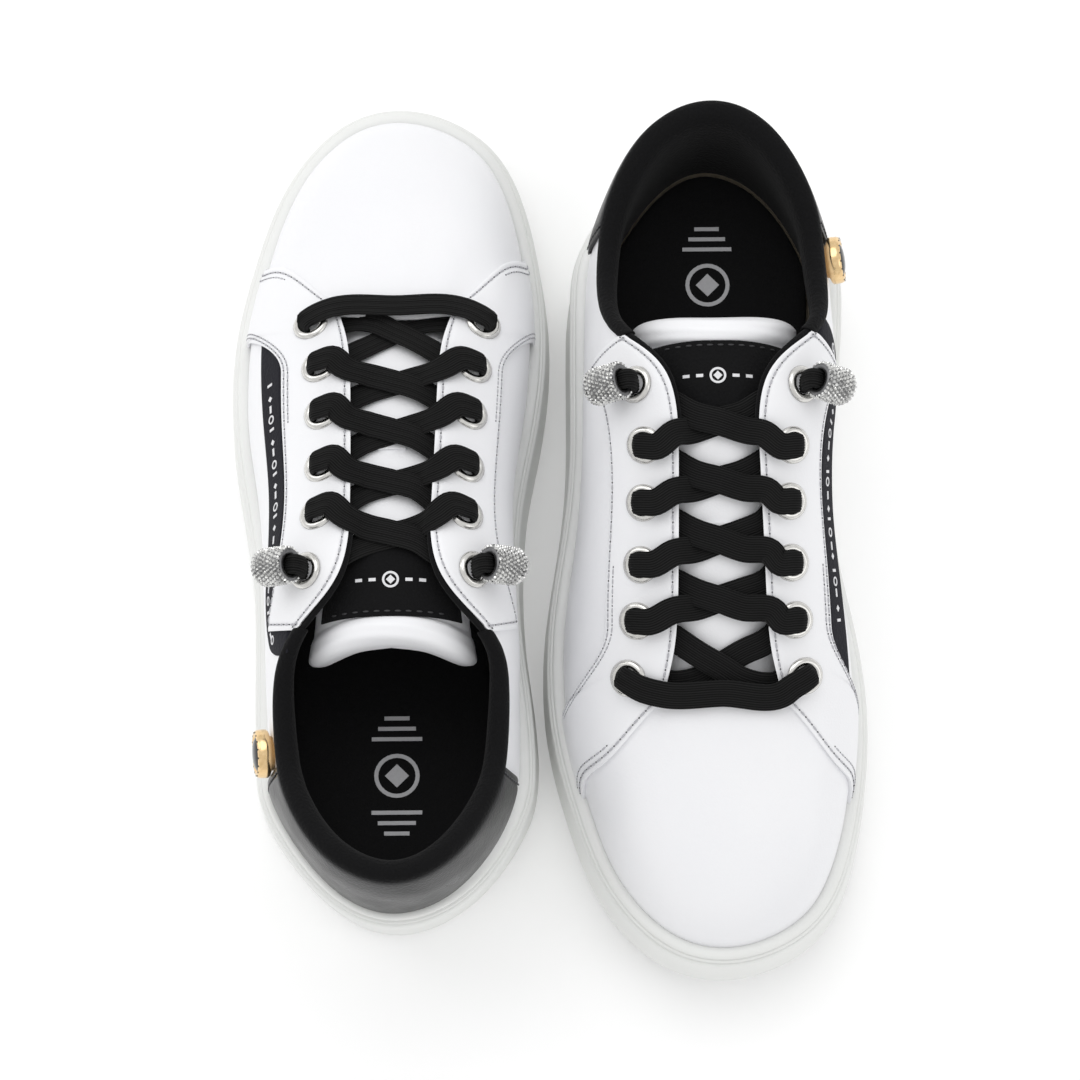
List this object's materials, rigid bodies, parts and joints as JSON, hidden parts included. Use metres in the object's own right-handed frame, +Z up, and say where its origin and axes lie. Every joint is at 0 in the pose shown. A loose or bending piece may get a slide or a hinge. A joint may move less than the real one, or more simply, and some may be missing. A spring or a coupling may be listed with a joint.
{
  "type": "pair of cheer shoes",
  "caption": "Low white leather lace-up shoes on rubber cupsoles, with black laces ending in crystal beads, black heel patches and a gold stud each.",
  "frame": {"origin": "centre of the pair's footprint, on the floor", "axes": "+Z up; +Y towards the left shoe's toe; +X from the left shoe to the right shoe, whose toe points to -Y"},
  "size_m": [0.2068, 0.2866, 0.1018],
  "materials": {
    "sole_rubber": "satin",
    "foam": "matte",
    "board": "matte",
    "footbed_cloth": "matte",
    "white_leather": "satin",
    "stiffener": "matte",
    "black_leather": "gloss",
    "black_lining": "matte",
    "black_ribbon": "satin",
    "black_label": "satin",
    "nickel": "polished",
    "black_lace": "matte",
    "crystal_silver": "glitter",
    "gold": "polished",
    "black_enamel": "gloss"
  },
  "bodies": {
    "shoe_left": {"cupsole_left": "sole_rubber", "midsole_filler_left": "foam", "insole_board_left": "board", "footbed_left": "footbed_cloth", "vamp_left": "white_leather", "toe_puff_left": "stiffener", "quarter_outer_left": "white_leather", "quarter_inner_left": "white_leather", "eyestay_outer_left": "white_leather", "eyestay_inner_left": "white_leather", "heel_patch_left": "black_leather", "heel_counter_left": "stiffener", "collar_lining_left": "black_lining", "side_ribbon_left": "black_ribbon", "tongue_left": "white_leather", "eyelets_left": "nickel", "laces_left": "black_lace", "stud_rim_left": "gold", "stud_face_left": "black_enamel", "stud_post_left": "gold"},
    "tongue_end_left": {"tongue_top_left": "white_leather", "tongue_label_left": "black_label"},
    "outer_bead_left": {"bead_outer_left": "crystal_silver", "lace_end_outer_left": "black_lace"},
    "inner_bead_left": {"bead_inner_left": "crystal_silver", "lace_end_inner_left": "black_lace"},
    "shoe_right": {"cupsole_right": "sole_rubber", "midsole_filler_right": "foam", "insole_board_right": "board", "footbed_right": "footbed_cloth", "vamp_right": "white_leather", "toe_puff_right": "stiffener", "quarter_outer_right": "white_leather", "quarter_inner_right": "white_leather", "eyestay_outer_right": "white_leather", "eyestay_inner_right": "white_leather", "heel_patch_right": "black_leather", "heel_counter_right": "stiffener", "collar_lining_right": "black_lining", "side_ribbon_right": "black_ribbon", "tongue_right": "white_leather", "eyelets_right": "nickel", "laces_right": "black_lace", "stud_rim_right": "gold", "stud_face_right": "black_enamel", "stud_post_right": "gold"},
    "tongue_end_right": {"tongue_top_right": "white_leather", "tongue_label_right": "black_label"},
    "outer_bead_right": {"bead_outer_right": "crystal_silver", "lace_end_outer_right": "black_lace"},
    "inner_bead_right": {"bead_inner_right": "crystal_silver", "lace_end_inner_right": "black_lace"}
  },
  "joints": [
    {"name": "shoes_apart", "type": "slide", "parent": "shoe_left", "child": "shoe_right", "axis": [1, 0, 0], "range_m": [0, 0.1]},
    {"name": "tongue_pull_left", "type": "hinge", "parent": "shoe_left", "child": "tongue_end_left", "pos_m": [-0.04791, -0.02861, 0.0896], "axis": [-1, -0.0091, 0], "range_deg": [0, 15]},
    {"name": "outer_bead_swing_left", "type": "hinge", "parent": "shoe_left", "child": "outer_bead_left", "pos_m": [-0.0731, -0.02994, 0.08889], "axis": [-0.6041, 0.0438, 0.7957], "range_deg": [-25, 25], "stiffness_Nm_per_rad": 0.01},
    {"name": "inner_bead_swing_left", "type": "hinge", "parent": "shoe_left", "child": "inner_bead_left", "pos_m": [-0.0231, -0.02958, 0.08874], "axis": [0.621, 0.0544, 0.7819], "range_deg": [-25, 25], "stiffness_Nm_per_rad": 0.01},
    {"name": "tongue_pull_right", "type": "hinge", "parent": "shoe_right", "child": "tongue_end_right", "pos_m": [0.0529, 0.0286, 0.0896], "axis": [1, 0.0091, 0], "range_deg": [0, 15]},
    {"name": "outer_bead_swing_right", "type": "hinge", "parent": "shoe_right", "child": "outer_bead_right", "pos_m": [0.07809, 0.02993, 0.08841], "axis": [0.6379, -0.0427, 0.7689], "range_deg": [-25, 25], "stiffness_Nm_per_rad": 0.01},
    {"name": "inner_bead_swing_right", "type": "hinge", "parent": "shoe_right", "child": "inner_bead_right", "pos_m": [0.02809, 0.02957, 0.08919], "axis": [-0.5878, -0.0561, 0.807], "range_deg": [-25, 25], "stiffness_Nm_per_rad": 0.01}
  ]
}
